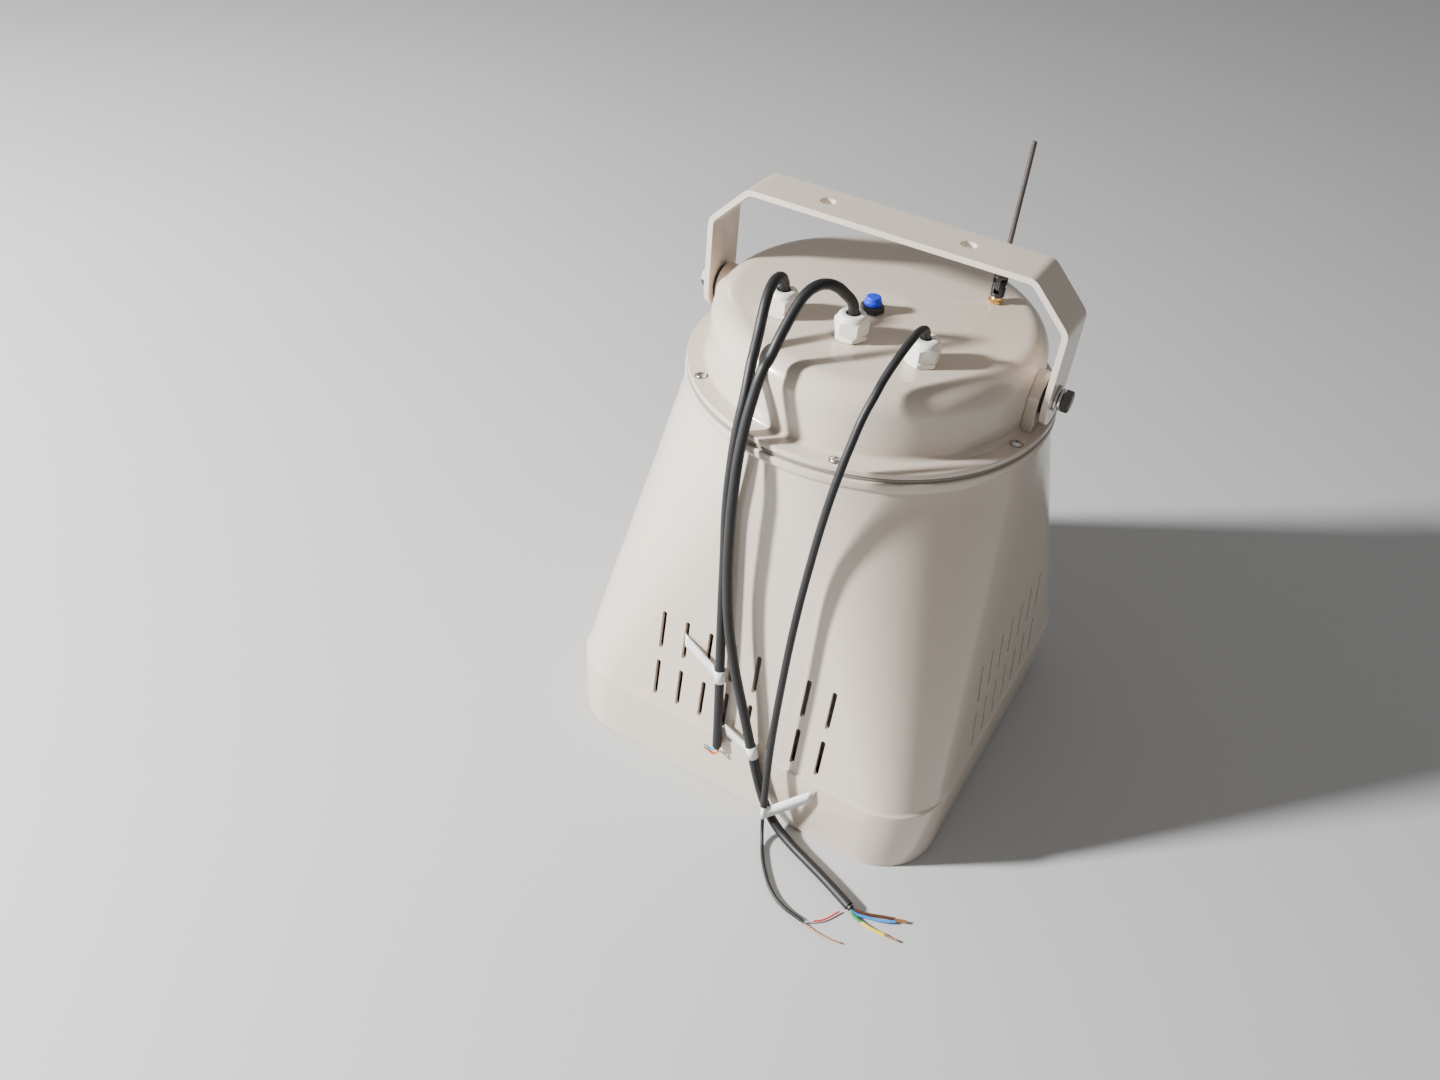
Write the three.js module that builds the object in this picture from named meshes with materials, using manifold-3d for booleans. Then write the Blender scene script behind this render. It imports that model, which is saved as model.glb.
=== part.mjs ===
// Horn loudspeaker head in a weatherproof bell housing, hung from a tilting yoke.
// Millimetres, +Z up. Origin: centre of the mouth, in the plane of its rim.
// The yoke pivots about X; the front face of the bell looks along -Y.
import * as THREE from 'three';
import { mergeVertices } from 'three/addons/utils/BufferGeometryUtils.js';
import Module from 'manifold-3d';

const wasm = await Module();
wasm.setup();

// ---------------------------------------------------------------- clearances
const GAP = 0.3;                 // between faces that touch on the real object
const BOLT_PLAY = 0.4;           // around every shank in its hole

// ---------------------------------------------------------------- bell shell
const MOUTH_HALF = 156.5;        // half the width of the square mouth
const MOUTH_CORNER = 48;         // corner radius of the mouth
const BAND_TOP = 58.5;           // height of the upright band round the mouth
const BAND_FLARE = 0.5;          // the band leans out by this at its top edge
const CREASE_SETBACK = 1.4;      // step in above the band
const SHELL_WALL = 3.2;
const COLLAR_TOP = 305;          // top face of the shell, under the gasket
const COLLAR_RADIUS = 131;
const COLLAR_HEIGHT = 5.5;       // rounded ring at the very top of the shell
const COLLAR_PROUD = 2.2;        // ring stands out from the taper by this
const LEDGE_THICK = 5;           // inward ledge that takes the cap screws
const LEDGE_INNER = 100;

// vent slots: two rows on every face
const SLOT_WIDTH = 3.8;
const SLOT_ROWS = [[67, 101], [112.5, 147]];
const FRONT_SLOTS = { count: 8, pitch: 20 };
const SIDE_SLOTS = { count: 7, pitch: 20.6 };

// ---------------------------------------------------------------- rear cap
const GASKET_THICK = 2.8;
const FLANGE_THICK = 4.3;
const FLANGE_RADIUS = 130.2;
const DOME_RADIUS = 115.7;       // at the flange
const DOME_DRAFT = 0.3;          // how far the side leans in before the shoulder
const DOME_SHOULDER = 17.5;        // radius of the shoulder
const DOME_HEIGHT = 47.5;        // above the flange
const CAP_WALL = 3.2;
const SCREW_CIRCLE = 123.2;
const SCREW_COUNT = 6;
const SCREW_START = -15;         // degrees
const SCREW = { shank: 4, head: 7.6, headHigh: 2.2, recess: 9.4, recessDeep: 1, length: 15 };

// ---------------------------------------------------------------- yoke and pivots
const PIVOT_HEIGHT = 335.5;
const YOKE = { width: 37.3, thick: 4, half: 129.5, top: 418.1, chamfer: 28.4, bend: 7 };
const MOUNT_HOLE = { radius: 5.5, half: 50 };
const PIVOT_BOLT = { shank: 8, headFlats: 13, headHigh: 5.3 };
const FRICTION_WASHER = { radius: 13, thick: 2.4 };
const FLAT_WASHER = { radius: 8.7, thick: 1.6 };
const SPRING_WASHER = { radius: 7.4, thick: 2.2 };
const LUG = { width: 30, inner: 108 };

// ---------------------------------------------------------------- cable glands
const GLAND = {
  flats: 20, bodyHigh: 3.9, nutHigh: 9.4, domeHigh: 3.6, domeTop: 6.3,
  thread: 15, stem: 12, topThread: 13.6, topHigh: 8, locknutHigh: 4.5,
};
const GLAND_ROW = { pitch: 50.3, x: 2.2, y: -54.8 };

// ---------------------------------------------------------------- breather vent
const VENT = {
  x: -1.2, y: -14.6, flats: 14.4, bodyHigh: 4.6, thread: 9.6, stem: 11, bore: 1.5,
  capRadius: 6, capHigh: 5.9, spigot: 3, spigotHigh: 2.8,
};

// ---------------------------------------------------------------- antenna
const ANTENNA = {
  x: 61.8, y: 51, nutFlats: 9.4, nutHigh: 2.5, collar: 4.2, collarHigh: 2.1, barrel: 3.1,
  barrelUp: 2.5, stem: 9, sleeve: 4.9, knuckleUp: 13.4, tongue: 3.2, sleeveUp: 31.3,
  taper: 5, whip: 1.75, length: 107.5,
};

// ---------------------------------------------------------------- horn and driver
const HORN = { wall: 2, lip: 3, lipUp: 2.5, throat: 19, throatTop: 262, flange: 46, flangeThick: 4 };
const DRIVER = { radius: 46, high: 40, mouth: 24, dome: 21, domeThick: 1, domeRise: 7, recess: 12 };

// ---------------------------------------------------------------- electronics tray
const TRAY = { thick: 2, hole: 49, post: 3, postHigh: 8 };

// ---------------------------------------------------------------- cables
const CABLE_DIAMETER = [7.2, 7.2, 5.4];
const CORE_DIAMETER = 2.8;       // thin screened core below the third tag
const TAG = { thick: 0.8, band: 11 };

// Heights worked out from the values above.
const gasketBase = COLLAR_TOP + GAP;
const capBase = gasketBase + GASKET_THICK + GAP;
const flangeTop = capBase + FLANGE_THICK;
const capTop = flangeTop + DOME_HEIGHT;
const capInside = capTop - CAP_WALL;
const domeInner = DOME_RADIUS - CAP_WALL;
const armInner = YOKE.half - YOKE.thick;
const lugOuter = armInner - 2 * GAP - FRICTION_WASHER.thick;

// ================================================================ geometry helpers

// A closed three.js geometry as a manifold-3d solid, faces outward.
function solid(geometry) {
  const bare = geometry.index ? geometry.toNonIndexed() : geometry.clone();
  bare.deleteAttribute('normal');
  bare.deleteAttribute('uv');
  const merged = mergeVertices(bare, 1e-4);
  const points = merged.attributes.position.array;
  const corners = [];
  let volume = 0;
  const a = new THREE.Vector3();
  const b = new THREE.Vector3();
  const c = new THREE.Vector3();
  for (let i = 0; i < merged.index.count; i += 3) {
    const [i0, i1, i2] = [0, 1, 2].map((k) => merged.index.getX(i + k));
    if (i0 === i1 || i1 === i2 || i2 === i0) continue;
    corners.push(i0, i1, i2);
    a.fromArray(points, 3 * i0);
    b.fromArray(points, 3 * i1);
    c.fromArray(points, 3 * i2);
    volume += a.dot(b.cross(c));
  }
  if (volume < 0) {
    for (let i = 0; i < corners.length; i += 3) {
      [corners[i + 1], corners[i + 2]] = [corners[i + 2], corners[i + 1]];
    }
  }
  return new wasm.Manifold(new wasm.Mesh({
    numProp: 3,
    vertProperties: new Float32Array(points),
    triVerts: new Uint32Array(corners),
  }));
}

// A manifold-3d solid back as a three.js geometry.
function geometryOf(manifold) {
  const mesh = manifold.getMesh();
  const geometry = new THREE.BufferGeometry();
  const points = new Float32Array(mesh.numVert * 3);
  for (let i = 0; i < mesh.numVert; i += 1) {
    for (let k = 0; k < 3; k += 1) points[3 * i + k] = mesh.vertProperties[i * mesh.numProp + k];
  }
  geometry.setAttribute('position', new THREE.BufferAttribute(points, 3));
  geometry.setIndex(new THREE.BufferAttribute(new Uint32Array(mesh.triVerts), 1));
  geometry.computeVertexNormals();
  return geometry;
}

const join = (first, ...rest) => rest.reduce((sum, next) => sum.add(next), first);
const cut = (first, ...rest) => rest.reduce((left, next) => left.subtract(next), first);

// Profile of [radius, height] pairs turned about Z.
function turnedGeometry(profile, segments = 32) {
  const points = profile.map(([r, z]) => new THREE.Vector2(r, z));
  return new THREE.LatheGeometry(points, segments).rotateX(Math.PI / 2);
}

// The same as a solid: the profile is closed on itself, or starts and ends on the axis.
function turned(profile, segments = 32) {
  const onAxis = profile[0][0] === 0 && profile.at(-1)[0] === 0;
  return solid(turnedGeometry(onAxis ? profile : [...profile, profile[0]], segments));
}

// Upright rod, ring or block.
function rod(radius, low, high, segments = 16) {
  return turned([[0, low], [radius, low], [radius, high], [0, high]], segments);
}

function ring(inner, outer, low, high, segments = 24) {
  return turned([[inner, low], [outer, low], [outer, high], [inner, high]], segments);
}

function block(x0, x1, y0, y1, z0, z1) {
  const box = new THREE.BoxGeometry(x1 - x0, y1 - y0, z1 - z0);
  return solid(box.translate((x0 + x1) / 2, (y0 + y1) / 2, (z0 + z1) / 2));
}

function moved(part, x, y, z = 0) {
  return part.translate([x, y, z]);
}

// Quarter round from angle a to angle b (degrees) about a centre, for profiles.
function arc(cx, cz, radius, a, b, steps) {
  return Array.from({ length: steps + 1 }, (_, i) => {
    const t = THREE.MathUtils.degToRad(a + (b - a) * i / steps);
    return [cx + radius * Math.cos(t), cz + radius * Math.sin(t)];
  });
}

function hexPrism(flats, low, high) {
  const radius = flats / Math.sqrt(3);
  const prism = new THREE.CylinderGeometry(radius, radius, high - low, 6);
  return solid(prism.rotateX(Math.PI / 2).translate(0, 0, (low + high) / 2));
}

// Turn an upright solid so that +Z becomes +X.
const alongX = (part) => part.rotate([0, 90, 0]);

// Point of a rounded square: the corner arc takes the larger share of the steps.
function outlinePoint(angle, half, corner) {
  const quarter = Math.PI / 2;
  const side = Math.floor(angle / quarter + 1e-9);
  const local = angle - side * quarter - quarter / 2;
  const share = (quarter / 2) * (1 - (1 - corner / half) / 3);
  const flat = half - corner;
  const point = new THREE.Vector2();
  if (Math.abs(local) <= share) {
    const turn = quarter / 2 + (local / share) * (quarter / 2);
    point.set(flat + corner * Math.cos(turn), flat + corner * Math.sin(turn));
  } else {
    const along = flat * (1 - (Math.abs(local) - share) / (quarter / 2 - share));
    if (local < 0) point.set(half, along);
    else point.set(along, half);
  }
  return point.rotateAround(new THREE.Vector2(), side * quarter);
}

// A turned profile whose sections become rounded squares with the corner radius given.
function lofted(profile, cornerAt, segments = 40) {
  const geometry = turnedGeometry([...profile, profile[0]], segments);
  const place = geometry.attributes.position;
  for (let i = 0; i < place.count; i += 1) {
    const x = place.getX(i);
    const y = place.getY(i);
    const z = place.getZ(i);
    const half = Math.hypot(x, y);
    const step = Math.round((Math.atan2(y, x) / (2 * Math.PI)) * segments);
    const angle = ((step + segments) % segments) * (2 * Math.PI / segments);
    const point = outlinePoint(angle, half, Math.min(half, cornerAt(z, half)));
    place.setXY(i, point.x, point.y);
  }
  return solid(geometry);
}

// Upright slot, cut through the whole width along the given axis.
function slotCutter(column, low, high, axis) {
  const r = SLOT_WIDTH / 2;
  const reach = MOUTH_HALF + 10;
  if (axis === 'x') return block(-reach, reach, column - r, column + r, low, high);
  return block(column - r, column + r, -reach, reach, low, high);
}

// Round tube with closed ends along a smooth curve through the points.
function tube(points, diameter, sides, pitch) {
  const curve = new THREE.CatmullRomCurve3(points.map((p) => new THREE.Vector3(...p)), false, 'centripetal');
  const section = new THREE.Shape();
  for (let i = 0; i < sides; i += 1) {
    const t = (2 * Math.PI * i) / sides;
    const place = [0.5 * diameter * Math.cos(t), 0.5 * diameter * Math.sin(t)];
    if (i === 0) section.moveTo(...place);
    else section.lineTo(...place);
  }
  const steps = Math.max(4, Math.round(curve.getLength() / pitch));
  return new THREE.ExtrudeGeometry(section, { steps, bevelEnabled: false, extrudePath: curve });
}

// ================================================================ the assembly
const object = new THREE.Group();

function paint(colour, roughness, metalness = 0) {
  return new THREE.MeshStandardMaterial({ color: colour, roughness, metalness });
}

const finish = {
  paint: paint(0xe6dad0, 0.3),
  rubber: paint(0x1b1b1d, 0.6),
  nylon: paint(0xf0eee6, 0.45),
  steel: paint(0xb8bac0, 0.3, 1),
  darkSteel: paint(0x3a3a38, 0.4, 1),
  gold: paint(0xd8a640, 0.25, 1),
  aluminium: paint(0xa9acb0, 0.4, 1),
  blackPlastic: paint(0x232325, 0.5),
  blue: paint(0x1840e0, 0.4),
  tag: paint(0xe4e4e2, 0.6),
  board: paint(0x1f5a34, 0.6),
  copper: paint(0xc07a48, 0.35, 1),
};

function add(name, shape, material, parent = object) {
  const geometry = shape.isBufferGeometry ? shape : geometryOf(shape);
  const mesh = new THREE.Mesh(geometry, material);
  mesh.name = name;
  parent.add(mesh);
}

// Places of the cap screws.
const screwPlaces = Array.from({ length: SCREW_COUNT }, (_, i) => {
  const angle = THREE.MathUtils.degToRad(SCREW_START + (360 / SCREW_COUNT) * i);
  return [SCREW_CIRCLE * Math.cos(angle), SCREW_CIRCLE * Math.sin(angle)];
});
const glandPlaces = [-1, 0, 1].map((k) => [GLAND_ROW.x + k * GLAND_ROW.pitch, GLAND_ROW.y]);

// ---------------------------------------------------------------- bell shell
const taperTop = COLLAR_TOP - COLLAR_HEIGHT - COLLAR_PROUD;
const taperTopHalf = COLLAR_RADIUS - COLLAR_PROUD;
const taperLow = BAND_TOP + 2;
const taperLowHalf = MOUTH_HALF + BAND_FLARE - CREASE_SETBACK;

// Half width of the outside at a height on the taper.
function taperHalf(z) {
  return THREE.MathUtils.mapLinear(z, taperLow, taperTop, taperLowHalf, taperTopHalf);
}

// Corner radius: constant on the band, then growing until the section is round.
function shellCorner(z, half) {
  const rise = THREE.MathUtils.clamp((z - BAND_TOP) / (taperTop - BAND_TOP), 0, 1);
  const outside = z <= BAND_TOP ? MOUTH_HALF : taperHalf(Math.min(z, taperTop));
  const outer = MOUTH_CORNER + (outside - MOUTH_CORNER) * rise ** 1.25;
  if (rise >= 1) return half;
  return Math.max(4, outer - Math.max(0, outside - half));
}

const taperLevels = [0.2, 0.4, 0.6, 0.8, 0.92].map((t) => taperLow + t * (taperTop - taperLow));
const ledgeLow = COLLAR_TOP - LEDGE_THICK;
const shellOutside = [
  [MOUTH_HALF, 0], [MOUTH_HALF + BAND_FLARE, BAND_TOP], [taperLowHalf, taperLow],
  ...taperLevels.map((z) => [taperHalf(z), z]),
  [taperTopHalf, taperTop], [COLLAR_RADIUS, taperTop + COLLAR_PROUD],
  [COLLAR_RADIUS, COLLAR_TOP - 1], [COLLAR_RADIUS - 1, COLLAR_TOP],
];
const shellInside = [
  [LEDGE_INNER, COLLAR_TOP], [LEDGE_INNER, ledgeLow],
  [taperHalf(taperTop) - SHELL_WALL - 3, ledgeLow],
  [taperHalf(taperTop) - SHELL_WALL, taperTop - 3],
  ...taperLevels.toReversed().map((z) => [taperHalf(z) - SHELL_WALL, z]),
  [taperLowHalf - SHELL_WALL, taperLow], [MOUTH_HALF - SHELL_WALL, BAND_TOP - 3],
  [MOUTH_HALF - SHELL_WALL, 0],
];
const slots = [];
for (const [low, high] of SLOT_ROWS) {
  for (const [pattern, axis] of [[FRONT_SLOTS, 'y'], [SIDE_SLOTS, 'x']]) {
    for (let k = 0; k < pattern.count; k += 1) {
      slots.push(slotCutter((k - (pattern.count - 1) / 2) * pattern.pitch, low, high, axis));
    }
  }
}
const screwHoles = (low, high) => screwPlaces.map(([x, y]) => moved(
  rod(SCREW.shank / 2 + BOLT_PLAY, low, high, 8), x, y,
));
add('bell_shell', cut(
  lofted([...shellOutside, ...shellInside], shellCorner),
  ...slots, ...screwHoles(ledgeLow - 5, COLLAR_TOP + 5),
), finish.paint);

// ---------------------------------------------------------------- cap and gasket
const gasketInner = domeInner + 1;
add('cap_gasket', cut(
  ring(gasketInner, COLLAR_RADIUS - 2, gasketBase, gasketBase + GASKET_THICK, 28),
  ...screwHoles(gasketBase - 5, gasketBase + 10),
), finish.rubber);

const shoulderBase = capTop - DOME_SHOULDER;
const domeSide = DOME_RADIUS - DOME_DRAFT;
const capOutside = [
  [0, capBase], [FLANGE_RADIUS - 0.8, capBase], [FLANGE_RADIUS, capBase + 0.8], [FLANGE_RADIUS, flangeTop - 0.8],
  [FLANGE_RADIUS - 0.8, flangeTop], [DOME_RADIUS + 2, flangeTop], [DOME_RADIUS, flangeTop + 2],
  ...arc(domeSide - DOME_SHOULDER, shoulderBase, DOME_SHOULDER, 0, 90, 6), [0, capTop],
];
const capHollow = [
  [0, capBase - 5], [domeInner, capBase - 5], [domeInner, flangeTop],
  ...arc(domeSide - DOME_SHOULDER, shoulderBase, DOME_SHOULDER - CAP_WALL, 0, 90, 4), [0, capInside],
];
// Everything inside the outer skin of the cap, grown by a clearance, for what seats on it.
const capEnvelope = (grow) => turned([
  [0, capBase], [FLANGE_RADIUS + grow, capBase], [FLANGE_RADIUS + grow, flangeTop + grow],
  [DOME_RADIUS + 2 + grow, flangeTop + grow], [DOME_RADIUS + grow, flangeTop + 2 + grow],
  ...arc(domeSide - DOME_SHOULDER, shoulderBase, DOME_SHOULDER + grow, 0, 90, 6), [0, capTop + grow],
], 44);
const capHole = (radius, [x, y]) => moved(rod(radius, capInside - 5, capTop + 5), x, y);
add('rear_cap', cut(
  turned(capOutside, 44),
  turned(capHollow, 44),
  ...screwHoles(capBase - 5, flangeTop + 5),
  ...screwPlaces.map(([x, y]) => moved(rod(SCREW.recess / 2, flangeTop - SCREW.recessDeep, flangeTop + 5, 12), x, y)),
  ...glandPlaces.map((place) => capHole(GLAND.thread / 2 + BOLT_PLAY, place)),
  capHole(VENT.thread / 2 + BOLT_PLAY, [VENT.x, VENT.y]),
  capHole(ANTENNA.barrel + BOLT_PLAY, [ANTENNA.x, ANTENNA.y]),
), finish.paint);

screwPlaces.forEach(([x, y], i) => {
  const seat = flangeTop - SCREW.recessDeep + GAP;
  const head = turned([
    [0, seat], [SCREW.head / 2, seat], [SCREW.head / 2, seat + SCREW.headHigh * 0.6],
    [SCREW.head / 3, seat + SCREW.headHigh], [0, seat + SCREW.headHigh],
  ], 14);
  const shank = rod(SCREW.shank / 2, seat - SCREW.length, seat + 1, 8);
  const cross = [[0.5, 2], [2, 0.5]].map(([w, d]) => block(-w, w, -d, d, seat + SCREW.headHigh - 1.1, seat + 9));
  add(`cap_screw_${i + 1}`, moved(cut(join(head, shank), ...cross), x, y), finish.steel);
});

// ---------------------------------------------------------------- pivots and yoke
// Everything on the pivot axis is made at the origin along X, then lifted to the axis.
const lifted = (part) => part.translate([0, 0, PIVOT_HEIGHT]);
const lugTop = LUG.width / 2;
const washerX = YOKE.half + GAP;
const springX = washerX + FLAT_WASHER.thick + GAP;
const headX = springX + SPRING_WASHER.thick + GAP;
const washerBore = PIVOT_BOLT.shank / 2 + BOLT_PLAY;
const pivotBore = (from, to) => alongX(rod(washerBore, from, to));

for (const side of ['right', 'left']) {
  const facing = side === 'right' ? 0 : 180;
  const place = (part) => lifted(part.rotate([0, 0, facing]));
  const cheek = join(
    block(LUG.inner, lugOuter, -lugTop, lugTop, flangeTop + GAP - PIVOT_HEIGHT, 0),
    alongX(rod(lugTop, LUG.inner, lugOuter, 32)),
  );
  const lug = cut(cheek, pivotBore(LUG.inner - 5, lugOuter + 5));
  add(`pivot_lug_${side}`, place(lug).subtract(capEnvelope(GAP)), finish.paint);
  add(`friction_washer_${side}`, place(alongX(
    ring(washerBore, FRICTION_WASHER.radius, lugOuter + GAP, armInner - GAP),
  )), finish.rubber);
  add(`flat_washer_${side}`, place(alongX(
    ring(washerBore, FLAT_WASHER.radius, washerX, washerX + FLAT_WASHER.thick),
  )), finish.steel);
  const split = block(springX - 2, headX + 2, -0.6, 0.6, washerBore - 2, 20);
  add(`spring_washer_${side}`, place(cut(alongX(
    ring(washerBore, SPRING_WASHER.radius, springX, springX + SPRING_WASHER.thick, 20),
  ), split)), finish.steel);
  const boltTip = DOME_RADIUS + 1;
  const bolt = join(
    alongX(hexPrism(PIVOT_BOLT.headFlats, headX, headX + PIVOT_BOLT.headHigh)),
    alongX(rod(PIVOT_BOLT.shank / 2, boltTip, headX + 1)),
  );
  add(`pivot_bolt_${side}`, place(bolt), finish.darkSteel);
}

// Strap bent from flat bar: outline in XZ, extruded along Y, ends rounded about the pivot.
function strapSide(offset) {
  const half = YOKE.half - offset;
  const top = YOKE.top - offset;
  const corner = YOKE.chamfer - offset * (2 - Math.SQRT2);
  return [
    [half, PIVOT_HEIGHT - YOKE.width], [half, top - corner], [half - corner, top],
    [-half + corner, top], [-half, top - corner], [-half, PIVOT_HEIGHT - YOKE.width],
  ];
}

// The same outline with its bends rounded.
function roundedPath(points, radius) {
  const out = [points[0]];
  for (let i = 1; i < points.length - 1; i += 1) {
    const [before, at, after] = [points[i - 1], points[i], points[i + 1]].map((p) => new THREE.Vector2(...p));
    const into = before.clone().sub(at).normalize();
    const away = after.clone().sub(at).normalize();
    const cutBack = radius * Math.tan(Math.PI / 8);
    const bend = new THREE.QuadraticBezierCurve(
      at.clone().addScaledVector(into, cutBack), at, at.clone().addScaledVector(away, cutBack),
    );
    out.push(...bend.getPoints(3).map((p) => [p.x, p.y]));
  }
  out.push(points.at(-1));
  return out;
}
const strapOutline = [
  ...roundedPath(strapSide(0), YOKE.bend + YOKE.thick),
  ...roundedPath(strapSide(YOKE.thick), YOKE.bend).toReversed(),
];
const strapShape = new THREE.Shape(strapOutline.map(([x, z]) => new THREE.Vector2(x, z)));
const strap = solid(new THREE.ExtrudeGeometry(strapShape, { depth: YOKE.width, bevelEnabled: false })
  .rotateX(Math.PI / 2).translate(0, YOKE.width / 2, 0));
const armEnds = lifted(join(
  alongX(rod(YOKE.width / 2, -YOKE.half - 5, YOKE.half + 5, 36)),
  block(-YOKE.half - 5, YOKE.half + 5, -YOKE.width, YOKE.width, 0, YOKE.top),
));
const mountHoles = [-1, 1].map((k) => moved(
  rod(MOUNT_HOLE.radius, YOKE.top - YOKE.thick - 5, YOKE.top + 5, 20), k * MOUNT_HOLE.half, 0,
));
add('yoke_bracket', cut(
  strap.intersect(armEnds), ...mountHoles, lifted(pivotBore(-YOKE.half - 5, YOKE.half + 5)),
), finish.paint);

// ---------------------------------------------------------------- cable glands
glandPlaces.forEach(([x, y], i) => {
  const bodyLow = capTop + GAP;
  const bodyTop = bodyLow + GLAND.bodyHigh;
  const nutLow = bodyTop + GAP;
  const bore = CABLE_DIAMETER[i] / 2 + BOLT_PLAY + 0.1;
  const throughBore = rod(bore, capTop - 60, capTop + 60);
  const body = join(
    hexPrism(GLAND.flats, bodyLow, bodyTop),
    rod(GLAND.thread / 2, capInside - GLAND.stem + CAP_WALL, bodyLow + 1),
    rod(GLAND.topThread / 2, bodyTop - 1, bodyTop + GLAND.topHigh),
  );
  add(`gland_body_${i + 1}`, moved(cut(body, throughBore), x, y), finish.nylon);

  const domeLow = nutLow + GLAND.nutHigh;
  const shoulder = turned([
    [0, nutLow], [GLAND.flats / 2 + 1.2, nutLow], [GLAND.flats / 2 + 1.2, domeLow - 2],
    [GLAND.flats / 2, domeLow], [GLAND.flats / 2 - 0.7, domeLow + GLAND.domeHigh * 0.45],
    [GLAND.domeTop + 1.2, domeLow + GLAND.domeHigh * 0.85],
    [GLAND.domeTop, domeLow + GLAND.domeHigh], [0, domeLow + GLAND.domeHigh],
  ], 18);
  const nut = cut(
    join(
      hexPrism(GLAND.flats, nutLow, domeLow).intersect(shoulder),
      shoulder.intersect(rod(GLAND.flats / 2, domeLow - 1, domeLow + 30, 18)),
    ),
    rod(GLAND.topThread / 2 + GAP, nutLow - 5, bodyTop + GLAND.topHigh + GAP),
    throughBore,
  );
  add(`gland_nut_${i + 1}`, moved(nut, x, y), finish.nylon);

  const lockTop = capInside - GAP;
  const locknut = cut(
    hexPrism(GLAND.flats, lockTop - GLAND.locknutHigh, lockTop),
    rod(GLAND.thread / 2 + GAP, capInside - 20, capTop),
  );
  add(`gland_locknut_${i + 1}`, moved(locknut, x, y), finish.nylon);
});

// ---------------------------------------------------------------- breather vent
const ventTop = capTop + GAP + VENT.bodyHigh;
const ventBody = join(
  hexPrism(VENT.flats, capTop + GAP, ventTop),
  rod(VENT.thread / 2, capTop - VENT.stem, capTop + 1),
  rod(VENT.spigot, ventTop - 1, ventTop + VENT.spigotHigh, 12),
);
add('vent_body', moved(cut(ventBody, rod(VENT.bore, capTop - 30, ventTop + 30, 8)), VENT.x, VENT.y), finish.blackPlastic);
const ventCap = cut(
  turned([
    [0, ventTop + GAP], [VENT.capRadius, ventTop + GAP],
    [VENT.capRadius, ventTop + VENT.capHigh - 1.2], [VENT.capRadius - 1.2, ventTop + VENT.capHigh],
    [0, ventTop + VENT.capHigh],
  ], 20),
  rod(VENT.spigot + GAP, ventTop - 5, ventTop + VENT.spigotHigh + GAP, 12),
);
add('vent_cap', moved(ventCap, VENT.x, VENT.y), finish.blue);

// ---------------------------------------------------------------- antenna
const collarTop = capTop + GAP + ANTENNA.nutHigh + ANTENNA.collarHigh;
const knuckle = capTop + ANTENNA.knuckleUp;
const antennaPlace = (part) => moved(part, ANTENNA.x, ANTENNA.y);
add('antenna_connector', antennaPlace(join(
  hexPrism(ANTENNA.nutFlats, capTop + GAP, capTop + GAP + ANTENNA.nutHigh),
  rod(ANTENNA.collar, capTop + GAP + 1, collarTop),
  rod(ANTENNA.barrel, capTop - ANTENNA.stem, collarTop + ANTENNA.barrelUp, 12),
)), finish.gold);

// Fork and tongue: both ends are round about the knuckle axis, which runs along X.
const forkReach = ANTENNA.sleeve;
const clearOfFork = forkReach + GAP;
const eye = (radius) => alongX(rod(radius, -20, 20, 24)).translate([0, 0, knuckle]);
const cheekWide = ANTENNA.tongue / 2 + GAP;
const fork = cut(
  rod(ANTENNA.sleeve, collarTop + GAP, knuckle + forkReach, 20)
    .intersect(join(eye(forkReach), block(-20, 20, -20, 20, capTop, knuckle))),
  block(-cheekWide, cheekWide, -20, 20, knuckle - clearOfFork, knuckle + 20),
  rod(ANTENNA.barrel + GAP, capTop, collarTop + ANTENNA.barrelUp + GAP, 12),
);
add('antenna_base', antennaPlace(fork), finish.blackPlastic);

const sleeveTop = capTop + ANTENNA.sleeveUp;
const whipTop = collarTop + ANTENNA.length;
const whip = turned([
  [0, knuckle - forkReach], [ANTENNA.sleeve, knuckle - forkReach], [ANTENNA.sleeve, sleeveTop],
  [ANTENNA.whip + 0.6, sleeveTop + ANTENNA.taper], [ANTENNA.whip, sleeveTop + ANTENNA.taper + 0.6],
  [ANTENNA.whip, whipTop - ANTENNA.whip], [ANTENNA.whip * 0.7, whipTop - 0.5], [0, whipTop],
], 20);
const besideTongue = [-1, 1].map((k) => block(
  Math.min(k * ANTENNA.tongue / 2, k * 20), Math.max(k * ANTENNA.tongue / 2, k * 20),
  -20, 20, capTop, knuckle + clearOfFork,
));
const tongueEnd = join(eye(forkReach), block(-20, 20, -20, 20, knuckle, whipTop + 5));
add('antenna_whip', antennaPlace(cut(whip.intersect(tongueEnd), ...besideTongue)), finish.blackPlastic);

// ---------------------------------------------------------------- horn and driver
// Flare from a round throat to a rounded square that seats inside the shell.
const lipHalf = MOUTH_HALF - SHELL_WALL - GAP;
const lipTop = HORN.lipUp + HORN.lip;
const flareLevels = [0, 0.15, 0.35, 0.6, 0.8, 1];
const flare = flareLevels.map((t) => {
  const z = lipTop + (HORN.throatTop - HORN.flangeThick - lipTop) * t;
  const half = HORN.throat + (lipHalf - 12 - HORN.throat) * (1 - t) ** 1.7;
  return [half, z];
});
function hornCorner(z, half) {
  const rise = THREE.MathUtils.clamp((z - lipTop) / (0.8 * (HORN.throatTop - lipTop)), 0, 1);
  return THREE.MathUtils.lerp(Math.min(half, MOUTH_CORNER - SHELL_WALL - GAP), half, rise);
}
const hornOutside = flare.map(([half, z]) => [half + HORN.wall, z]);
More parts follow.
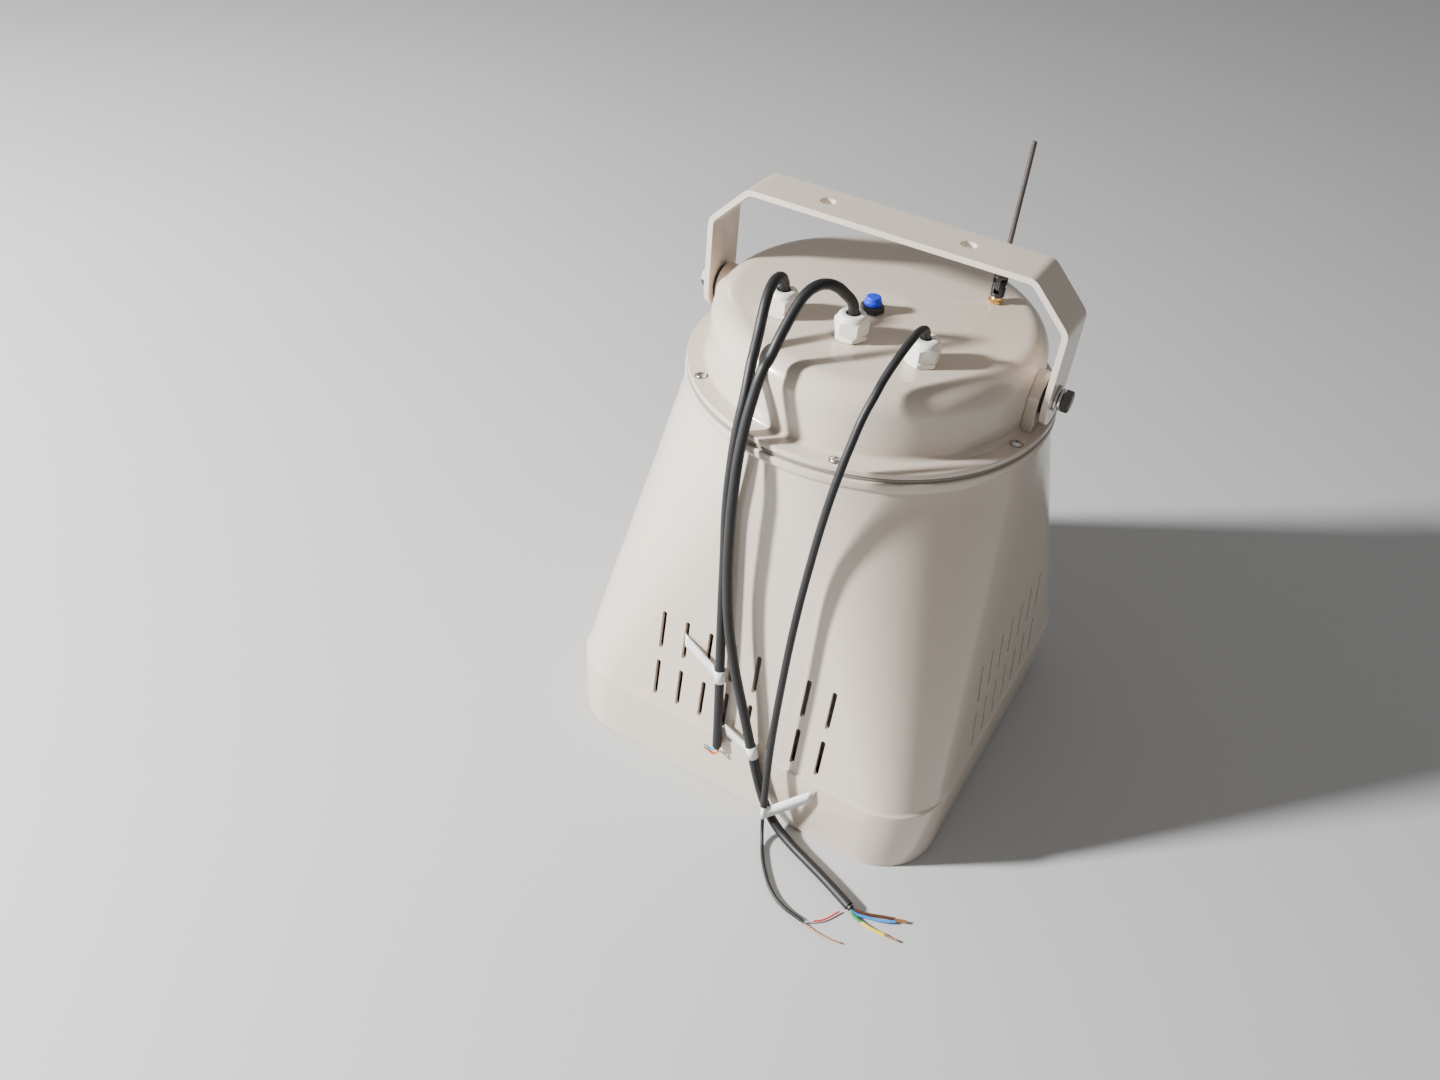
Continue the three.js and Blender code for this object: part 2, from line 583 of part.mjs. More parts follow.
add('inner_horn', lofted([
  [flare[0][0], HORN.lipUp], [lipHalf, HORN.lipUp], [lipHalf, lipTop], ...hornOutside,
  [HORN.flange, HORN.throatTop - HORN.flangeThick], [HORN.flange, HORN.throatTop],
  [HORN.throat, HORN.throatTop], ...flare.toReversed(),
], hornCorner), finish.aluminium);

const driverLow = HORN.throatTop + GAP;
const driverTop = driverLow + DRIVER.high;
add('driver_magnet', turned([
  [0, driverLow + DRIVER.recess], [DRIVER.mouth, driverLow + DRIVER.recess], [DRIVER.mouth, driverLow],
  [DRIVER.radius, driverLow], [DRIVER.radius, driverLow + 8], [DRIVER.radius - 3, driverLow + 8],
  [DRIVER.radius - 3, driverTop - 8], [DRIVER.radius, driverTop - 8], [DRIVER.radius, driverTop],
  [0, driverTop],
], 20), finish.darkSteel);
const domeBase = driverLow + 2;
add('driver_diaphragm', turned([
  [0, domeBase + DRIVER.domeRise], [DRIVER.dome * 0.6, domeBase + DRIVER.domeRise * 0.72],
  [DRIVER.dome, domeBase], [DRIVER.mouth - GAP, domeBase], [DRIVER.mouth - GAP, domeBase + DRIVER.domeThick],
  [DRIVER.dome + 0.4, domeBase + DRIVER.domeThick],
  [DRIVER.dome * 0.6, domeBase + DRIVER.domeRise * 0.72 + DRIVER.domeThick],
  [0, domeBase + DRIVER.domeRise + DRIVER.domeThick],
], 20), finish.aluminium);

// ---------------------------------------------------------------- electronics tray
const trayLow = COLLAR_TOP + GAP;
const trayTop = trayLow + TRAY.thick;
const postTop = trayTop + TRAY.postHigh;
const boardPosts = [[-52, 58], [52, 58], [-52, 88], [52, 88]];
add('electronics_tray', join(
  ring(TRAY.hole, domeInner - GAP, trayLow, trayTop, 28),
  ...boardPosts.map(([x, y]) => moved(rod(TRAY.post, trayTop - 1, postTop, 8), x, y)),
), finish.aluminium);
const onTray = trayTop + GAP;
const boardLow = postTop + GAP;
add('amplifier_board', block(-58, 58, 52, 94, boardLow, boardLow + 1.6), finish.board);
const fins = Array.from({ length: 6 }, (_, i) => block(-46 + 8 * i, -43 + 8 * i, 60, 86, boardLow + 4, boardLow + 20));
add('heat_sink', join(block(-48, 2, 58, 88, boardLow + 1.6 + GAP, boardLow + 5), ...fins), finish.aluminium);
add('power_supply', block(-104, -64, -24, 30, onTray, onTray + 24), finish.blackPlastic);
add('radio_module', block(66, 96, -20, 24, onTray, onTray + 7), finish.steel);
add('terminal_block', join(
  block(-34, 34, -100, -84, onTray, onTray + 12), block(-34, 34, -97, -87, onTray + 11, onTray + 16),
), finish.nylon);

// ---------------------------------------------------------------- cables
// Each leaves its gland, bends over and hangs down the front of the bell.
const routes = [
  [[-48.1, -54.8, 368], [-48.1, -54.8, 379], [-48, -56.8, 384], [-47.7, -61.8, 388.8],
    [-47.4, -69, 390.6], [-46.6, -77, 388.8], [-44.9, -85, 383.9], [-42.8, -92.3, 376.7],
    [-40.6, -99.5, 368.2], [-38.1, -107.5, 360.7], [-36.2, -114, 354.4], [-32.9, -124.5, 337.9],
    [-32.1, -132.3, 316.2], [-31.3, -137.3, 290.7], [-30.2, -140.4, 256.3], [-26.5, -144, 221],
    [-22.5, -148.5, 184], [-18, -153, 143], [-13, -157.5, 98], [-9, -161, 53]],
  [[2.2, -54.8, 368], [2.2, -54.8, 379.3], [1.2, -56.4, 385], [-2.6, -60.8, 391.6],
    [-6.6, -66.6, 397.6], [-11.1, -73, 400.6], [-14.9, -80, 400.4], [-17.8, -87, 397.1],
    [-19.5, -94.5, 390.9], [-20.5, -102.3, 383.2], [-21.3, -109.7, 375.3], [-22.3, -117.2, 365.2],
    [-22.8, -123.2, 360.4], [-24, -130.5, 343.7], [-24.7, -139.5, 312.9], [-23, -146.4, 285.5],
    [-20.9, -150.6, 249], [-17, -154, 208], [-11.5, -157, 176], [-2.4, -159.5, 141],
    [7.8, -160.8, 108.5], [19, -161.4, 71], [28.3, -161.6, 39.5], [35.9, -162.7, 21.8],
    [44, -165.4, 12.2], [54.5, -169, 6.2], [67, -173.5, 4], [84, -179.6, 3.8], [104, -186.8, 3.8],
    [128, -196.5, 3.8]],
  [[52.5, -54.8, 368], [52.5, -54.8, 379], [52.4, -56.7, 383], [52, -61.2, 385.8],
    [51.2, -67.6, 386.4], [50.2, -76, 383.4], [49, -84, 379.1], [47.7, -92.5, 373.5],
    [46.5, -100.5, 367.2], [46.1, -109.5, 360.3], [44.6, -117, 350.8], [43, -125.5, 334],
    [41.1, -134, 311.6], [38.9, -139.9, 284.5], [36.6, -145.4, 245.9], [35.4, -152.5, 201],
    [35.6, -160, 144.3], [36.8, -166, 86.3], [38.6, -169, 54], [40.5, -171.4, 27.4]],
];
const coreRoute = [
  [40.6, -171.5, 26.8], [41.1, -172.15, 21.15], [41.6, -172.8, 15.5], [43.8, -176, 7.5],
  [48.5, -183.5, 2.4], [56, -195.5, 1.7], [64.5, -206, 1.7], [74, -215, 1.7], [86, -221.5, 1.7],
  [104, -224.5, 1.7],
];
routes.forEach((route, i) => {
  add(`cable_${i + 1}`, tube(route, CABLE_DIAMETER[i], 8, 1.2 * CABLE_DIAMETER[i]), finish.rubber);
});
add('cable_3_core', tube(coreRoute, CORE_DIAMETER, 8, 3 * CORE_DIAMETER), finish.rubber);

// Stripped ends: thin wires that start in a short filler plug just past the sheath.
function strippedEnd(end, before, plugDiameter, wires) {
  const tip = new THREE.Vector3(...end);
  const forward = tip.clone().sub(new THREE.Vector3(...before)).normalize();
  const start = tip.clone().addScaledVector(forward, GAP);
  const plugEnd = start.clone().addScaledVector(forward, 2);
  const plug = solid(tube([start.toArray(), plugEnd.toArray()], plugDiameter, 8, 10));
  const strands = wires.map(([diameter, points]) => solid(tube(
    [start.clone().addScaledVector(forward, 0.8).toArray(), ...points], diameter, 6, 4 * diameter,
  )));
  return join(plug, ...strands);
}
add('cable_1_wires', strippedEnd(routes[0].at(-1), routes[0].at(-2), 5, [
  [1.8, [[-9.5, -161.6, 49.5], [-13, -162.5, 48], [-19, -163, 49.5]]],
  [1.8, [[-7.5, -162.2, 49], [-9.5, -164.4, 47], [-17.5, -166, 50.5]]],
]), finish.copper);
add('cable_2_wires', strippedEnd(routes[1].at(-1), routes[1].at(-2), 5.4, [
  [2.2, [[132.5, -196.6, 3], [140, -194.2, 1.8], [153, -188.6, 1.4], [167.5, -182.6, 1.4]]],
  [2.2, [[132.5, -198.4, 2.6], [141, -196.4, 1.4], [156, -191, 1.4], [167.5, -185.2, 1.4]]],
  [2.2, [[132.5, -200, 2.4], [141, -201.8, 1.4], [150, -202.4, 1.4], [169, -200.7, 1.4]]],
]), finish.copper);
add('cable_3_wires', strippedEnd(coreRoute.at(-1), coreRoute.at(-2), 2.4, [
  [1.2, [[107, -224.1, 1.8], [112, -220.4, 1.6], [117, -215.2, 1.2], [123.8, -202.6, 1.2]]],
  [1.2, [[107, -225.2, 1.2], [114, -226.2, 1], [124, -226.4, 1], [135.3, -224.6, 1]]],
]), finish.copper);

// Flags folded round the cables: a sleeve with a flat tab that climbs by rise per mm of length.
function flagTag(from, to, cableDiameter, tabDirection, tabLength, rise) {
  const low = new THREE.Vector3(...from);
  const high = new THREE.Vector3(...to);
  const along = high.clone().sub(low).normalize();
  const centre = low.clone().add(high).multiplyScalar(0.5);
  const inner = cableDiameter / 2 + GAP;
  const out = new THREE.Vector3(...tabDirection);
  out.addScaledVector(along, -out.dot(along)).normalize();
  const side = new THREE.Vector3().crossVectors(along, out);
  const basis = new THREE.Matrix4().makeBasis(out, side, along).setPosition(centre);
  const half = TAG.band / 2;
  const reach = inner + tabLength;
  const climb = tabLength * rise;
  const tab = new THREE.Shape([[inner, -half], [reach, climb - half], [reach, climb + half], [inner, half]]
    .map(([x, z]) => new THREE.Vector2(x, z)));
  const flat = new THREE.ExtrudeGeometry(tab, { depth: TAG.thick, bevelEnabled: false });
  const sleeve = cut(
    join(
      rod(inner + TAG.thick, -half, half, 14),
      solid(flat.rotateX(Math.PI / 2).translate(0, TAG.thick / 2, 0)),
    ),
    rod(inner, -half - 1, half + 1, 14),
  );
  return geometryOf(sleeve).applyMatrix4(basis);
}
const flags = [
  { span: [[-15, -155.7, 116], [-16, -154.8, 125]], way: [-0.95, 0.15, 0], length: 29, rise: 0.55 },
  { span: [[21.6, -161.45, 62.5], [19, -161.4, 71]], way: [-0.95, 0.12, 0], length: 18, rise: 0.7 },
  { span: [coreRoute[2], coreRoute[0]], way: [0.9, 0.26, 0], length: 33, rise: 0.8 },
];
const flaggedDiameter = [CABLE_DIAMETER[0], CABLE_DIAMETER[1], CORE_DIAMETER];
flags.forEach(({ span, way, length, rise }, i) => {
  add(`cable_tag_${i + 1}`, flagTag(...span, flaggedDiameter[i], way, length, rise), finish.tag);
});

export default object;
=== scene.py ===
import math

import bmesh
import bpy
from mathutils import Euler, Matrix, Vector


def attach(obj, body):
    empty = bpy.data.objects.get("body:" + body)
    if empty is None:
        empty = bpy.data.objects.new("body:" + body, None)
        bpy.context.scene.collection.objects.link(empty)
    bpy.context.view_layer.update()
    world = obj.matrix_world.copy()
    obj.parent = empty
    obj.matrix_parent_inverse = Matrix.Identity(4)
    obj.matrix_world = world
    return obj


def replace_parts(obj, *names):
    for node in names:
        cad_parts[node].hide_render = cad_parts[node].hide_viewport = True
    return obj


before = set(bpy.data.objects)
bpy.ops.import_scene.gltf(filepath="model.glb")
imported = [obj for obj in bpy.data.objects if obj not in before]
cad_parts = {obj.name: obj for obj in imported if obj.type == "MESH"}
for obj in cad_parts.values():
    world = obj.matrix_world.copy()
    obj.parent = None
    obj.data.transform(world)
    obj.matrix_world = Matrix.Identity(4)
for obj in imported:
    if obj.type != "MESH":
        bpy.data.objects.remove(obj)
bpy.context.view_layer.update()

# ---------------------------------------------------------------- camera
# Stands at the front right, above the cap, and looks down at the head.
# It is rolled a little, so the head leans.
lens = bpy.data.cameras.new("camera")
lens.lens, lens.sensor_width = 29.08, 36
camera = bpy.data.objects.new("camera", lens)
bpy.context.collection.objects.link(camera)
turn = Euler((math.radians(50.13), 0, math.radians(28.05))).to_matrix().to_4x4()
camera.matrix_world = (
    Matrix.Translation((0.25104, -0.67361, 0.73439)) @ turn @ Matrix.Rotation(math.radians(5.13), 4, "Z")
)
bpy.context.scene.camera = camera


# ---------------------------------------------------------------- cables
# Three round rubber-sheathed cables, extruded in black compound with a slightly dusty, matt skin.
# Each is gripped by its gland, bends over the edge of the cap and hangs down the front of the bell.
class Value:
    """A socket of a shader. Arithmetic on it makes the nodes for that sum."""

    def __init__(self, tree, socket):
        self.tree, self.socket = tree, socket

    def node(self, kind, inputs, output=0, **settings):
        made = self.tree.nodes.new("ShaderNode" + kind)
        for name, setting in settings.items():
            setattr(made, name, setting)
        for key, given in inputs.items():
            if isinstance(given, Value):
                self.tree.links.new(given.socket, made.inputs[key])
            else:
                made.inputs[key].default_value = given
        return Value(self.tree, made.outputs[output])

    def into(self, shader, name):
        self.tree.links.new(self.socket, shader.inputs[name])

    def __add__(self, other):
        return self.node("Math", {0: self, 1: other}, operation="ADD")

    def __sub__(self, other):
        return self.node("Math", {0: self, 1: other}, operation="SUBTRACT")

    def __rsub__(self, other):
        return self.node("Math", {0: other, 1: self}, operation="SUBTRACT")

    def __mul__(self, other):
        return self.node("Math", {0: self, 1: other}, operation="MULTIPLY")

    __radd__, __rmul__ = __add__, __mul__

    def __gt__(self, other):
        return self.node("Math", {0: self, 1: other}, operation="GREATER_THAN")

    def speckle(self, scale, detail=2.0):
        """Noise between 0 and 1, with this many grains to the metre."""
        return self.node("TexNoise", {"Vector": self, "Scale": scale, "Detail": detail})

    def between(self, low, high):
        """A mix of two colours, by this value."""
        return self.node("Mix", {0: self, 6: (*low, 1), 7: (*high, 1)}, output=2, data_type="RGBA")


def finish(name, roughness, metallic=0.0, grain=900, relief=0.05, dark=None, light=None, patch=40, drift=0.16,
           **numbers):
    """A finish whose colour drifts between dark and light in soft patches, with a fine grain raised on it."""
    material = bpy.data.materials.new(name)
    material.use_nodes = True
    tree = material.node_tree
    shader = tree.nodes["Principled BSDF"]
    place = Value(tree, tree.nodes.new("ShaderNodeTexCoord").outputs["Object"])
    patches = place.speckle(patch, 3)
    patches.between(dark, light).into(shader, "Base Color")
    (roughness + (patches - 0.5) * drift).into(shader, "Roughness")
    fine = place.speckle(grain)
    fine.node("Bump", {"Height": fine, "Strength": relief, "Distance": 0.0004}).into(shader, "Normal")
    shader.inputs["Metallic"].default_value = metallic
    for key, number in numbers.items():
        shader.inputs[key.replace("_", " ")].default_value = number
    return material


def strand(name, diameter, route, material):
    """A round cord through the places given, in millimetres, with a closed end."""
    line = bpy.data.curves.new(name, "CURVE")
    line.dimensions = "3D"
    line.bevel_depth, line.bevel_resolution, line.use_fill_caps = diameter / 2000, 4, True
    line.resolution_u = 6
    spline = line.splines.new("BEZIER")
    spline.bezier_points.add(len(route) - 1)
    for point, place in zip(spline.bezier_points, route):
        point.co = Vector(place) / 1000
        point.handle_left_type = point.handle_right_type = "AUTO"
    line.materials.append(material)
    made = bpy.data.objects.new(name.replace(" ", "-"), line)
    bpy.context.collection.objects.link(made)
    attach(made, "head")
    return made


jacket = finish("cable jacket", 0.5, grain=1400, relief=0.12, dark=(0.006, 0.006, 0.007),
                light=(0.016, 0.016, 0.017))
routes = [
    [(-48.1, -54.8, 368), (-48.1, -54.8, 379), (-48, -56.8, 384), (-47.7, -61.8, 388.8), (-47.4, -69, 390.6),
     (-46.6, -77, 388.8), (-44.9, -85, 383.9), (-42.8, -92.3, 376.7), (-40.6, -99.5, 368.2),
     (-38.1, -107.5, 360.7),
     (-36.2, -114, 354.4), (-32.9, -124.5, 337.9), (-32.1, -132.3, 316.2), (-31.3, -137.3, 290.7),
     (-30.2, -140.4, 256.3), (-26.5, -144, 221), (-22.5, -148.5, 184), (-18, -153, 143), (-13, -157.5, 98),
     (-9, -161, 53)],
    [(2.2, -54.8, 368), (2.2, -54.8, 379.3), (1.2, -56.4, 385), (-2.6, -60.8, 391.6), (-6.6, -66.6, 397.6),
     (-11.1, -73, 400.6), (-14.9, -80, 400.4), (-17.8, -87, 397.1), (-19.5, -94.5, 390.9),
     (-20.5, -102.3, 383.2),
     (-21.3, -109.7, 375.3), (-22.3, -117.2, 365.2), (-22.8, -123.2, 360.4), (-24, -130.5, 343.7),
     (-24.7, -139.5, 312.9), (-23, -146.4, 285.5), (-20.9, -150.6, 249), (-17, -154, 208), (-11.5, -157, 176),
     (-2.4, -159.5, 141), (7.8, -160.8, 108.5), (19, -161.4, 71), (28.3, -161.6, 39.5), (35.9, -162.7, 21.8),
     (44, -165.4, 12.2), (54.5, -169, 6.2), (67, -173.5, 4), (84, -179.6, 3.8), (104, -186.8, 3.8),
     (128, -196.5, 3.8)],
    [(52.5, -54.8, 368), (52.5, -54.8, 379), (52.4, -56.7, 383), (52, -61.2, 385.8), (51.2, -67.6, 386.4),
     (50.2, -76, 383.4), (49, -84, 379.1), (47.7, -92.5, 373.5), (46.5, -100.5, 367.2), (46.1, -109.5, 360.3),
     (44.6, -117, 350.8), (43, -125.5, 334), (41.1, -134, 311.6), (38.9, -139.9, 284.5),
     (36.6, -145.4, 245.9),
     (35.4, -152.5, 201), (35.6, -160, 144.3), (36.8, -166, 86.3), (38.6, -169, 54), (40.5, -171.4, 27.4)],
]
core_route = [(40.6, -171.5, 26.8), (41.1, -172.15, 21.15), (41.6, -172.8, 15.5), (43.8, -176, 7.5),
              (48.5, -183.5, 2.4), (56, -195.5, 1.7), (64.5, -206, 1.7), (74, -215, 1.7), (86, -221.5, 1.7),
              (104, -224.5, 1.7)]
for number, (route, diameter) in enumerate(zip(routes, (7.2, 7.2, 5.4)), 1):
    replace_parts(strand(f"cable {number}", diameter, route, jacket),
                              f"cable_{number}")
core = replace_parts(strand("cable 3 core", 2.8, core_route, jacket), "cable_3_core")


# ---------------------------------------------------------------- stripped wire ends
# Thin copper cores in coloured plastic come out of a filler at each cut sheath. Their last few
# millimetres are bare, twisted copper, and two of them share one crimped copper ferrule.
def plastic(name, colour):
    duller = tuple(part * 0.8 for part in colour)
    return finish(name, 0.4, grain=1500, relief=0.04, dark=duller, light=colour)


def twisted_copper(name, turns):
    """Bright copper strands, wound together: the ridges run slantwise over the wire."""
    material = finish(name, 0.34, 1.0, dark=(0.62, 0.27, 0.13), light=(0.86, 0.46, 0.27), patch=300)
    tree = material.node_tree
    place = Value(tree, tree.nodes.new("ShaderNodeTexCoord").outputs["Object"])
    ridges = place.node("TexWave", {"Vector": place, "Scale": turns, "Distortion": 1.5}, output=1,
                        bands_direction="DIAGONAL")
    bump = ridges.node("Bump", {"Height": ridges, "Strength": 0.7, "Distance": 0.0002})
    bump.into(tree.nodes["Principled BSDF"], "Normal")
    return material


copper = twisted_copper("twisted copper", 420)
filler = plastic("filler", (0.02, 0.02, 0.022))
cyan = plastic("cyan insulation", (0.0, 0.42, 0.8))
orange = plastic("orange insulation", (0.72, 0.2, 0.03))
brown = plastic("brown insulation", (0.12, 0.045, 0.02))
sky = plastic("light blue insulation", (0.04, 0.3, 0.8))
green = plastic("green insulation", (0.03, 0.33, 0.07))
yellow = plastic("yellow insulation", (0.92, 0.7, 0.01))
lilac = plastic("white insulation", (0.72, 0.66, 0.8))
red = plastic("red insulation", (0.85, 0.008, 0.01))


def past(route, distance):
    """A place this far beyond the end of a route, straight on."""
    tip, before = Vector(route[-1]), Vector(route[-2])
    return tuple(tip + (tip - before).normalized() * distance)


def wires(cable, route, plug, *pieces):
    """The filler and the wires at one cable's end, as separate round pieces."""
    node = f"cable_{cable}_wires"
    made = [strand(f"filler {cable}", plug, [past(route, 0.1), past(route, 2.3)], filler)]
    for name, diameter, material, *places in pieces:
        made.append(strand(f"wire {cable} {name}", diameter, places, material))
    return [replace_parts(piece, node) for piece in made]


ends = [
    wires(1, routes[0], 5,
          ("blue", 1.8, cyan, past(routes[0], 1.1), (-9.5, -161.6, 49.5), (-13, -162.5, 48),
           (-17, -162.9, 48.9)),
          ("blue tip", 1.1, copper, (-16.6, -162.85, 48.8), (-19, -163, 49.5)),
          ("orange", 1.8, orange, past(routes[0], 1.1), (-7.5, -162.2, 49), (-9.5, -164.4, 47),
           (-13, -165.2, 48.5)),
          ("orange tip", 1.1, copper, (-12.6, -165.1, 48.3), (-17.5, -166, 50.5))),
    wires(2, routes[1], 5.4,
          ("brown", 2.2, brown, past(routes[1], 1.1), (132.5, -196.6, 3), (140, -194.2, 1.8),
           (153, -188.6, 1.4),
           (160.5, -185.6, 1.4)),
          ("light blue", 2.2, sky, past(routes[1], 1.1), (132.5, -198.4, 2.6), (141, -196.4, 1.4),
           (156, -191, 1.4), (161, -188, 1.4)),
          ("shared ferrule", 2.4, copper, (160.2, -186.7, 1.5), (164, -185, 1.5), (167.8, -183.4, 1.5)),
          ("green", 2.2, green, past(routes[1], 1.1), (132.5, -200, 2.4), (137, -201.2, 1.8),
           (141, -201.8, 1.4)),
          ("yellow", 2.18, yellow, (140.6, -201.75, 1.42), (150, -202.4, 1.4), (159, -201.6, 1.4)),
          ("yellow tip", 1.5, copper, (158.6, -201.6, 1.4), (164, -201.2, 1.4), (169, -200.7, 1.4))),
    wires(3, core_route, 2.4,
          ("white", 1.2, lilac, past(core_route, 1.1), (107, -224.1, 1.8), (112, -220.4, 1.6)),
          ("red", 1.22, red, (111.6, -220.7, 1.6), (117, -215.2, 1.2), (123.8, -202.6, 1.2)),
          ("screen", 1.2, copper, past(core_route, 1.1), (107, -225.2, 1.2), (114, -226.2, 1),
           (124, -226.4, 1),
           (135.3, -224.6, 1))),
]


# ---------------------------------------------------------------- flag tags
# White printable film folded round each cable and stuck to itself, so that it stands out as a flag.
# The film is thin and springy, and the two halves are a little apart where they leave the cable.
def piece(made, name, material, slot, body, *nodes, bevel=0.0, smooth=32):
    """Names a finished mesh, gives it its finish and says which part of the model it stands for."""
    made.name = made.data.name = name.replace(" ", "-")
    made.data.materials.clear()
    made.data.materials.append(material)
    made.data.shade_smooth()
    if bevel:
        edge = made.modifiers.new("softened edges", "BEVEL")
        edge.width, edge.segments, edge.limit_method = bevel / 1000, 2, "ANGLE"
        edge.angle_limit, edge.harden_normals = math.radians(smooth), True
    else:
        made.data.set_sharp_from_angle(angle=math.radians(smooth))
    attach(made, body)
    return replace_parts(made, *nodes)


def plain(bm, place=None):
    """A bare object from a bmesh drawn in millimetres, put in its place."""
    if place is not None:
        bmesh.ops.transform(bm, matrix=place, verts=bm.verts)
    bmesh.ops.scale(bm, vec=(0.001, 0.001, 0.001), verts=bm.verts)
    mesh = bpy.data.meshes.new("part")
    bm.to_mesh(mesh)
    bm.free()
    made = bpy.data.objects.new("part", mesh)
    bpy.context.collection.objects.link(made)
    return made


film = finish("tag film", 0.36, grain=300, relief=0.05, dark=(0.74, 0.74, 0.73), light=(0.86, 0.86, 0.85),
              Coat_Weight=0.25)


def tag(number, low, high, cable_diameter, way, length, climb):
    low, high = Vector(low), Vector(high)
    along = (high - low).normalized()
    out = Vector(way)
    out = (out - along * out.dot(along)).normalized()
    side = along.cross(out)
    inner = cable_diameter / 2 + 0.5
    reach = inner + length
    outline = [(reach - (reach - inner - 2) * k / 8,
                0.16 + 0.3 * math.sin(math.pi * k / 8)) for k in range(9)]
    outline += [(inner * math.cos(a),
                 inner * math.sin(a)) for a in (math.radians(24 + 13 * k) for k in range(25))]
    outline += [(x, -y) for x, y in reversed(outline[:9])]
    bm = bmesh.new()
    rows = []
    for x, y in outline:
        rise = max(0, x - inner) * climb
        middle = (low + high) / 2 + out * x + side * y
        rows.append([bm.verts.new(middle + along * (rise + 5.5 * k)) for k in (-1, 1)])
    for (a, b), (c, d) in zip(rows, rows[1:]):
        bm.faces.new((a, b, d, c))
    bmesh.ops.recalc_face_normals(bm, faces=bm.faces)
    made = plain(bm)
    thick = made.modifiers.new("film", "SOLIDIFY")
    thick.thickness, thick.offset = 0.00022, 0
    return piece(made, f"cable tag {number}", film, "tag_film", "head", f"cable_tag_{number}", smooth=40)


tags = [
    tag(1, (-15, -155.7, 116), (-16, -154.8, 125), 7.2, (-0.95, 0.15, 0), 29, 0.55),
    tag(2, (21.6, -161.45, 62.5), (19, -161.4, 71), 7.2, (-0.95, 0.12, 0), 18, 0.7),
    tag(3, (41.6, -172.8, 15.5), (40.6, -171.5, 26.8), 2.8, (0.9, 0.26, 0), 33, 0.8),
]


# ---------------------------------------------------------------- bell shell
# One aluminium pressing, powder-coated in pale warm grey: square at the mouth, round under the cap.
# Two rows of upright slots are punched through every face, and a rolled ring closes the top.
def rounded(points, closed=False, steps=4):
    """Outline through (x, y, rounding) points: a corner with a rounding becomes a short curve."""
    done = []
    for i, (x, y, *size) in enumerate(points):
        here = Vector((x, y))
        if not size or (not closed and i in (0, len(points) - 1)):
            done.append(here)
            continue
        before, after = Vector(points[i - 1][:2]) - here, Vector(points[(i + 1) % len(points)][:2]) - here
        start = here + before.normalized() * min(size[0], before.length * 0.49)
        stop = here + after.normalized() * min(size[0], after.length * 0.49)
        for k in range(steps + 1):
            t = k / steps
            done.append(start.lerp(here, t).lerp(here.lerp(stop, t), t))
    return done


def turned(profile, steps=48, closed=False, first=0.0):
    """The profile of (radius, height) points turned once round the upright axis."""
    bm = bmesh.new()
    row = [bm.verts.new((r * math.cos(first), r * math.sin(first), z)) for r, z in profile]
    pairs = list(zip(row, row[1:])) + ([(row[-1], row[0])] if closed else [])
    edges = [bm.edges.new(pair) for pair in pairs]
    bmesh.ops.spin(bm, geom=row + edges, cent=(0, 0, 0), axis=(0, 0, 1), angle=2 * math.pi, steps=steps,
                   use_merge=True)
    bmesh.ops.remove_doubles(bm, verts=bm.verts, dist=1e-4)
    bmesh.ops.recalc_face_normals(bm, faces=bm.faces)
    return bm


def squared(bm, corner_at, steps):
    """Moves every ring of a turned shape onto a square with rounded corners."""
    quarter = math.pi / 2
    for vert in bm.verts:
        half = math.hypot(vert.co.x, vert.co.y)
        corner = min(half, corner_at(vert.co.z, half))
        angle = (round(math.atan2(vert.co.y,
                                  vert.co.x) / (2 * math.pi) * steps) % steps) * 2 * math.pi / steps
        side = math.floor(angle / quarter + 1e-9)
        local = angle - side * quarter - quarter / 2
        share = (quarter / 2) * (1 - (1 - corner / half) / 3)
        flat = half - corner
        if flat < 1e-6 or abs(local) <= share:
            bend = quarter / 2 + local / share * quarter / 2
            place = Vector((flat + corner * math.cos(bend), flat + corner * math.sin(bend)))
        else:
            along = flat * (1 - (abs(local) - share) / (quarter / 2 - share))
            place = Vector((half, along)) if local < 0 else Vector((along, half))
        place.rotate(Matrix.Rotation(side * quarter, 2))
        vert.co.xy = place
    return bm


def prism(outline, along, bm=None):
    """A flat outline pushed along a direction into a closed block."""
    bm = bm or bmesh.new()
    face = bm.faces.new([bm.verts.new(place) for place in outline])
    pushed = bmesh.ops.extrude_face_region(bm, geom=[face])["geom"]
    bmesh.ops.translate(bm, vec=along, verts=[v for v in pushed if isinstance(v, bmesh.types.BMVert)])
    bmesh.ops.recalc_face_normals(bm, faces=bm.faces)
    return bm


def rods(places, steps=24):
    """Upright round bars (x, y, radius, low, high), used as drills."""
    bm = bmesh.new()
    for x, y, radius, low, high in places:
        middle = Matrix.Translation((x, y, (low + high) / 2))
        bmesh.ops.create_cone(bm, cap_ends=True, segments=steps, radius1=radius, radius2=radius,
                              depth=high - low,
                              matrix=middle)
    return bm


def carve(made, tool, operation="DIFFERENCE"):
    """Cuts one closed piece with another for good, and takes the tool away."""
    cut = made.modifiers.new("cut", "BOOLEAN")
    cut.object, cut.operation, cut.solver = tool, operation, "EXACT"
    done = bpy.data.meshes.new_from_object(made.evaluated_get(bpy.context.evaluated_depsgraph_get()))
    made.modifiers.clear()
    made.data = done
    bpy.data.objects.remove(tool)
    return made


coat = finish("shell paint", 0.26, grain=700, relief=0.03, dark=(0.605, 0.517, 0.43),
              light=(0.625, 0.535, 0.446),
              patch=14, drift=0.03, Coat_Weight=0.5, Coat_Roughness=0.1)


def taper(z):
    return 155.6 + (128.8 - 155.6) * (z - 60.5) / (297.3 - 60.5)


